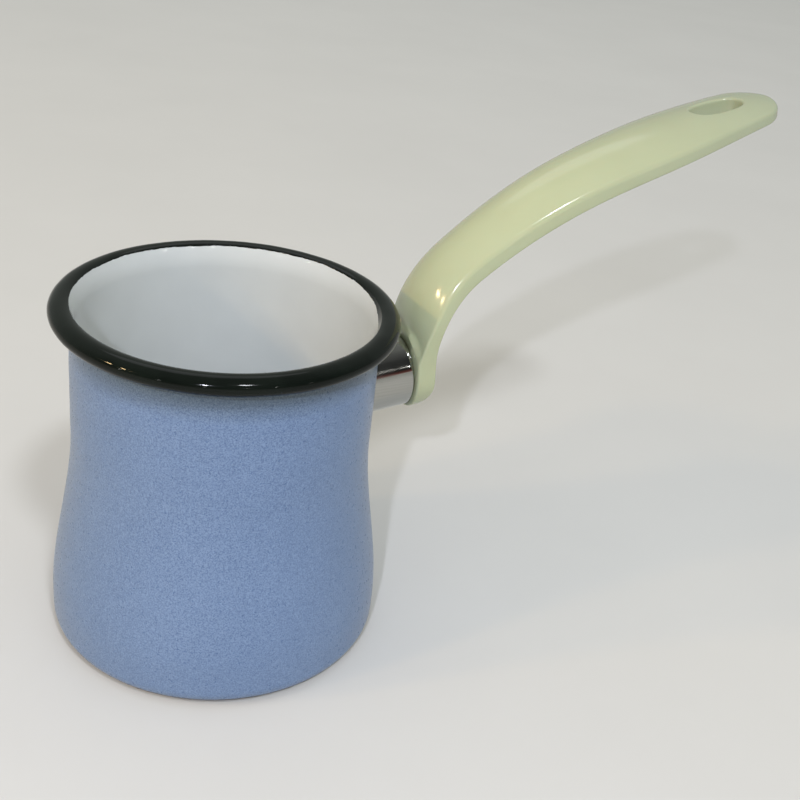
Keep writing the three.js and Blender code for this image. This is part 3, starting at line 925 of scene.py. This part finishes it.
class Finish:
    """A material with one shader, and short calls for the textures that feed it."""

    UNTINTED = (1.0, 1.0, 1.0)
    # Most of a noise lies between these values.
    NOISE_LOW, NOISE_HIGH = 0.3, 0.7

    def __init__(self, name, **values):
        self.material = bpy.data.materials.new(name)
        self.material.use_nodes = True
        self.tree = self.material.node_tree
        self.shader = self.tree.nodes["Principled BSDF"]
        self.where = add_node(self.tree, "TexCoord", {}, "Object")
        for socket, value in values.items():
            self.shader.inputs[socket.replace("_", " ")].default_value = value

    def noise(self, scale, detail=2.0, roughness=0.5, stretch=None):
        """Even noise over the pot, or noise drawn out along its axes."""
        where = self.where
        if stretch:
            where = add_node(self.tree, "Mapping", {"Vector": where, "Scale": stretch}, "Vector")
        inputs = {"Vector": where, "Scale": scale, "Detail": detail, "Roughness": roughness}
        return add_node(self.tree, "TexNoise", inputs, "Fac")

    def shades(self, value, first, last, low=NOISE_LOW, high=NOISE_HIGH):
        """From one colour to another over the middle of a noise."""
        return add_ramp(self.tree, value, ((low, first), (high, last)))

    def mottle(self, value, rgb, dark, light, low=NOISE_LOW, high=NOISE_HIGH):
        """From a darker tint of a colour to a lighter one over the middle of a noise."""
        return self.shades(value, tint(rgb, dark), tint(rgb, light), low, high)

    def fade(self, axis, start, full, rgb):
        """From no tint to a full one between two places along an axis of the pot."""
        along = add_node(self.tree, "SeparateXYZ", {"Vector": self.where}, axis)
        return self.shades(add_range(self.tree, along, start, full), self.UNTINTED, rgb, 0.0, 1.0)

    def base_colour(self, first, *tints):
        """Feeds the shader a colour, multiplied by any tints."""
        for rgb in tints:
            first = add_node(self.tree, "Mix", {"Factor": 1.0, 6: first, 7: rgb}, 2, data_type="RGBA",
                             blend_type="MULTIPLY")
        self.tree.links.new(first, self.shader.inputs["Base Color"])

    def roughness(self, value, low, high):
        """Lets the roughness wander over the middle of a noise."""
        wander = add_range(self.tree, value, self.NOISE_LOW, self.NOISE_HIGH, low, high)
        self.tree.links.new(wander, self.shader.inputs["Roughness"])

    def bump(self, *layers):
        """Surface relief from layers of height output, depth in metres and strength."""
        below = {}
        for height, depth, strength in layers:
            inputs = {"Height": height, "Distance": depth, "Strength": strength, **below}
            below = {"Normal": add_node(self.tree, "Bump", inputs, "Normal")}
        self.tree.links.new(below["Normal"], self.shader.inputs["Normal"])


def tint(rgb, factor):
    return tuple(min(1.0, v * factor) for v in rgb)


def blue_enamel(finish, pot_height):
    """Satin enamel with a dense, fine speckle, and painted shade greying it just under the rim."""
    f = Finish("blue_enamel", IOR=1.5)
    specks = f.noise(2600, 2.0, 0.6)
    tones = ((0.36, finish.blue_dark), (0.5, finish.blue), (0.64, finish.blue_light))
    clouds = f.shades(f.noise(45, 3.0, 0.55), (0.94, 0.95, 0.96), f.UNTINTED)
    # Painted shade under the rim: the blue greys between these two heights below the rim's top.
    painted_shade = f.fade("Z", pot_height - finish.painted_shade_start, pot_height - finish.painted_shade_full, finish.painted_shade)
    f.base_colour(add_ramp(f.tree, specks, tones), clouds, painted_shade)
    f.roughness(f.noise(900), 0.26, 0.36)
    f.bump((f.noise(220), 0.00006, 0.2), (specks, 0.00002, 0.1))
    return f.material


def white_enamel(finish):
    """Glossy white with a faint orange-peel surface."""
    f = Finish("white_enamel", IOR=1.5)
    f.base_colour(f.mottle(f.noise(60, 3.0), finish.white, 0.97, 1.02))
    f.roughness(f.noise(120), 0.07, 0.13)
    f.bump((f.noise(170, 1.0), 0.0001, 0.2))
    return f.material


def black_enamel(finish):
    """Deep gloss with soft ripples left by the brush."""
    f = Finish("black_enamel", IOR=1.5, Specular_IOR_Level=0.15)
    f.base_colour(f.mottle(f.noise(150, 3.0), finish.black, 0.8, 1.3))
    f.roughness(f.noise(260), 0.05, 0.11)
    f.bump((f.noise(120, 1.0), 0.00012, 0.25))
    return f.material


def ground_enamel(finish):
    """Dull dark ground coat with a brownish grain."""
    f = Finish("ground_enamel", IOR=1.48)
    grain = f.noise(1300, 3.0, 0.6)
    f.base_colour(f.mottle(grain, finish.ground, 0.6, 2.2, 0.35, 0.65))
    f.roughness(f.noise(600), 0.4, 0.6)
    f.bump((f.noise(700), 0.00006, 0.4))
    return f.material


def handle_plastic(finish):
    """Glossy moulded plastic, faintly cloudy, with light handling marks, and painted shade deepening it
    towards the tip.
    """
    f = Finish("handle_plastic", IOR=1.49, Subsurface_Weight=0.06, Subsurface_Scale=0.002)
    clouds = f.shades(f.noise(28, 3.0, 0.55), finish.plastic_shade, finish.plastic, 0.32, 0.68)
    # Painted shade along the handle, deepest at its tip.
    f.base_colour(clouds, f.fade("X", finish.tip_shade_start, finish.tip_shade_full, finish.tip_shade))
    f.roughness(f.noise(85, 4.0, 0.6), 0.1, 0.18)
    f.bump((f.noise(140, 1.0), 0.00008, 0.12), (f.noise(2600), 0.00001, 0.2))
    return f.material


def bright_steel(finish):
    """Polished stainless tube with faint drawing lines along it."""
    f = Finish("bright_steel", Metallic=1.0)
    lines = f.noise(1.0, 3.0, 0.6, stretch=(60, 2400, 2400))
    f.base_colour(f.mottle(lines, finish.bright, 0.93, 1.05))
    f.roughness(f.noise(240, 3.0), 0.05, 0.13)
    f.bump((lines, 0.00001, 0.25))
    return f.material


def plain_steel(name, rgb, low, high):
    """Plain steel with a fine rolled grain."""
    f = Finish(name, Metallic=1.0)
    grain = f.noise(1.0, 3.0, 0.6, stretch=(900, 900, 5200))
    f.base_colour(f.mottle(grain, rgb, 0.85, 1.1))
    f.roughness(f.noise(500, 3.0), low, high)
    f.bump((grain, 0.00002, 0.3))
    return f.material


def floor_paper(finish):
    """Matt pale table cover with a faint tooth."""
    f = Finish("floor_paper", IOR=1.3, Roughness=0.85)
    f.base_colour(f.mottle(f.noise(9, 4.0, 0.6), finish.floor, 0.985, 1.015))
    f.bump((f.noise(900), 0.0001, 0.08))
    return f.material


def current_wall(scene):
    return Wall(scene.pot_vessel, scene.pot_rim)


class POT_OT_vessel(bpy.types.Operator):
    """Build the drawn steel shell under the enamel"""
    bl_idname = "pot.vessel"
    bl_label = "Steel shell"

    def execute(self, context):
        scene = context.scene
        steel = plain_steel("vessel_steel", scene.pot_finish.steel, 0.35, 0.5)
        mesh = steel_shell_mesh(current_wall(scene))
        new_object("vessel_steel", mesh, "vessel_steel", steel, "vessel_shell")
        return {"FINISHED"}


class POT_OT_coats(bpy.types.Operator):
    """Build the blue, white, black and ground coats of enamel"""
    bl_idname = "pot.coats"
    bl_label = "Enamel coats"

    def execute(self, context):
        scene = context.scene
        wall = current_wall(scene)
        finish = scene.pot_finish
        blue = blue_enamel(finish, wall.vessel.pot_height)
        white = white_enamel(finish)
        black = black_enamel(finish)
        ground = ground_enamel(finish)
        new_object("blue_coat", blue_coat_mesh(wall), "blue_enamel", blue, "outer_enamel")
        new_object("white_coat", white_coat_mesh(wall), "white_enamel", white, "inner_enamel")
        new_object("black_coat", black_coat_mesh(wall), "black_enamel", black, "rim_enamel")
        new_object("ground_coat", ground_coat_mesh(wall), "ground_enamel", ground, "base_enamel")
        return {"FINISHED"}


class POT_OT_ferrule(bpy.types.Operator):
    """Build the bright oval ferrule between the wall and the handle"""
    bl_idname = "pot.ferrule"
    bl_label = "Ferrule"

    def execute(self, context):
        scene = context.scene
        mesh = ferrule_mesh(scene.pot_ferrule, current_wall(scene))
        new_object("bright_ferrule", mesh, "ferrule_steel", bright_steel(scene.pot_finish), "ferrule")
        return {"FINISHED"}


class POT_OT_handle(bpy.types.Operator):
    """Build the moulded handle"""
    bl_idname = "pot.handle"
    bl_label = "Handle"

    def execute(self, context):
        scene = context.scene
        mesh = handle_mesh(HandleForm(scene.pot_handle, scene.pot_ferrule, current_wall(scene)))
        plastic = handle_plastic(scene.pot_finish)
        new_object("moulded_handle", mesh, "handle_plastic", plastic, "handle_grip")
        return {"FINISHED"}


class POT_OT_fastening(bpy.types.Operator):
    """Build the screw, and finish its washer and the boss that it goes into"""
    bl_idname = "pot.fastening"
    bl_label = "Screw, washer and boss"

    def execute(self, context):
        scene = context.scene
        steel = scene.pot_finish.steel
        mesh = screw_mesh(scene.pot_screw, scene.pot_ferrule, current_wall(scene))
        screw_steel = plain_steel("screw_steel", tint(steel, 1.3), 0.2, 0.36)
        new_object("slotted_screw", mesh, "screw_steel", screw_steel, "handle_screw")
        finishes = {
            "lock_washer": plain_steel("washer_steel", tint(steel, 0.9), 0.3, 0.45),
            "handle_bracket": plain_steel("boss_steel", tint(steel, 0.75), 0.45, 0.6),
        }
        for node, material in finishes.items():
            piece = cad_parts[node]
            if not piece.material_slots:
                piece.data.materials.append(material)
            for slot in piece.material_slots:
                slot.link = "OBJECT"
                slot.material = material
        return {"FINISHED"}


class POT_OT_stage(bpy.types.Operator):
    """Set up the pale table, the room, the lamps and the camera"""
    bl_idname = "pot.stage"
    bl_label = "Stage"

    TABLE_HALF, TABLE_CELLS = 40.0, 24
    LENS, SENSOR, LENS_RISE, NEAREST = 52.2, 36, 0.005, 0.01
    LAMP_PARTS = ("place", "aim", "power", "colour", "size")
    # Directions of the glint lamps round the rim, and their heights, in degrees.
    GLINTS = ((-176, 12), (-150, 14), (-124, 17), (-98, 20), (-82, 19), (-60, 14))
    # Unit directions: up, the table's far side, and where the room's light is strongest.
    UP = (0, 0, 1)
    FAR_SIDE = (0.3746, 0.9272, 0.0)
    BRIGHT_SIDE = (-0.01, -0.3, 0.954)
    # What gloss shows of the room, by height: level is 0.5 and straight above is 1.
    TABLE_EDGE = 0.505
    NEAR_ROOM = ((0.535, (0.20, 0.06, 0.05)), (0.575, (0.05, 0.03, 0.028)), (0.60, (0.03, 0.032, 0.032)),
                 (0.80, (0.05, 0.052, 0.052)), (1.0, (0.20, 0.205, 0.20)))
    FAR_ROOM = ((0.54, (0.40, 0.43, 0.40)), (0.90, (0.42, 0.45, 0.42)), (1.0, (0.20, 0.205, 0.20)))
    FAR_START, FAR_FULL = -0.25, 0.35
    # Where the room's own light is dim and where it is brightest, with 0.5 square to the bright side.
    DIM_STOP, BRIGHT_STOP = 0.56, 0.97

    def execute(self, context):
        scene = context.scene
        stage = scene.pot_stage
        self.table(scene)
        self.room(scene, stage)
        for name in LAMPS:
            self.lamp(name, *(getattr(stage, f"{name}_{part}") for part in self.LAMP_PARTS))
        for i, (direction, height) in enumerate(self.GLINTS):
            a, e = math.radians(direction), math.radians(height)
            toward = Vector((math.cos(a) * math.cos(e), math.sin(a) * math.cos(e), math.sin(e)))
            at = Vector(stage.glint_aim) + toward * stage.glint_reach
            self.lamp(f"glint_lamp_{i}", at, stage.glint_aim, stage.glint_power, stage.glint_colour,
                      stage.glint_size)
        self.camera(scene, stage)
        scene.view_settings.view_transform = "Standard"
        return {"FINISHED"}

    def table(self, scene):
        bm = bmesh.new()
        cells = self.TABLE_CELLS
        bmesh.ops.create_grid(bm, x_segments=cells, y_segments=cells, size=self.TABLE_HALF)
        mesh = bpy.data.meshes.new("table")
        bm.to_mesh(mesh)
        bm.free()
        mesh.materials.append(floor_paper(scene.pot_finish))
        table = bpy.data.objects.new("table", mesh)
        scene.collection.objects.link(table)

    def lamp(self, name, at, aim, watts, rgb, size):
        light = bpy.data.lights.new(name, "AREA")
        light.shape = "DISK"
        light.size = size
        light.energy = watts
        light.color = rgb
        holder = bpy.data.objects.new(name, light)
        holder.location = at
        holder.rotation_euler = (Vector(aim) - Vector(at)).to_track_quat("-Z", "Y").to_euler()
        holder.visible_camera = False
        bpy.context.scene.collection.objects.link(holder)

    def room(self, scene, stage):
        """Soft light, strongest from above on the camera's side. What is seen is the pale background, and
        what shows in gloss is that background with a dim room above it, paler at the far side."""
        scene.world = bpy.data.worlds.new("room")
        scene.world.use_nodes = True
        tree = scene.world.node_tree
        tree.nodes.clear()
        where = add_node(tree, "TexCoord", {}, "Generated")
        ray = tree.nodes.new("ShaderNodeLightPath").outputs

        def along(axis, low=-1, high=1):
            """0 to 1 over directions from low to high along an axis."""
            dot = add_node(tree, "VectorMath", {0: where, 1: axis}, "Value", operation="DOT_PRODUCT")
            return add_range(tree, dot, low, high)

        def mix(a, b, amount):
            return add_node(tree, "Mix", {"Factor": amount, 6: a, 7: b}, 2, data_type="RGBA")

        def either(a, b):
            return add_node(tree, "Math", {0: a, 1: b}, "Value", operation="MAXIMUM")

        def background(rgb):
            return add_node(tree, "Background", {"Color": rgb}, "Background")

        pale = tuple(stage.background)
        below = ((0.0, pale), (self.TABLE_EDGE, pale))
        near_room = add_ramp(tree, along(self.UP), (*below, *self.NEAR_ROOM))
        far_room = add_ramp(tree, along(self.UP), (*below, *self.FAR_ROOM))
        gloss = mix(near_room, far_room, along(self.FAR_SIDE, self.FAR_START, self.FAR_FULL))
        seen = mix((*pale, 1), gloss, ray["Is Glossy Ray"])
        light = add_ramp(tree, along(self.BRIGHT_SIDE), (
            (0.0, tint(stage.ambient_dim, 0.5)), (self.DIM_STOP, stage.ambient_dim),
            (self.BRIGHT_STOP, stage.ambient_bright)))
        looks = either(either(ray["Is Camera Ray"], ray["Is Glossy Ray"]), ray["Is Transmission Ray"])
        sides = {"Fac": looks, 1: background(light), 2: background(seen)}
        add_node(tree, "OutputWorld", {"Surface": add_node(tree, "MixShader", sides, "Shader")})

    def camera(self, scene, stage):
        lens = bpy.data.cameras.new("camera")
        lens.sensor_width = self.SENSOR
        lens.lens = self.LENS
        lens.shift_y = self.LENS_RISE
        lens.clip_start = self.NEAREST
        holder = bpy.data.objects.new("camera", lens)
        at, aim = Vector(stage.camera_place), Vector(stage.camera_aim)
        look = (aim - at).to_track_quat("-Z", "Y").to_matrix() @ Matrix.Rotation(stage.camera_roll, 3, "Z")
        holder.matrix_world = Matrix.Translation(at) @ look.to_4x4()
        scene.collection.objects.link(holder)
        scene.camera = holder


class POT_PT_panel(bpy.types.Panel):
    """Lists the pot's pieces and sizes"""
    bl_idname = "POT_PT_panel"
    bl_label = "Coffee pot"
    bl_space_type = "VIEW_3D"
    bl_region_type = "UI"
    bl_category = "Coffee pot"

    def draw(self, context):
        for step in STEPS:
            self.layout.operator(step.bl_idname)
        for name, group in GROUPS.items():
            box = self.layout.box()
            for value in group.__annotations__:
                box.prop(getattr(context.scene, name), value)


STEPS = (POT_OT_vessel, POT_OT_coats, POT_OT_ferrule, POT_OT_handle, POT_OT_fastening, POT_OT_stage)


def register():
    for name, group in GROUPS.items():
        bpy.utils.register_class(group)
        setattr(bpy.types.Scene, name, PointerProperty(type=group))
    for step in (*STEPS, POT_PT_panel):
        bpy.utils.register_class(step)


def unregister():
    for step in (POT_PT_panel, *reversed(STEPS)):
        bpy.utils.unregister_class(step)
    for name, group in reversed(GROUPS.items()):
        delattr(bpy.types.Scene, name)
        bpy.utils.unregister_class(group)


def main():
    register()
    bpy.ops.pot.vessel()
    bpy.ops.pot.coats()
    bpy.ops.pot.ferrule()
    bpy.ops.pot.handle()
    bpy.ops.pot.fastening()
    bpy.ops.pot.stage()


if __name__ == "__main__":
    main()
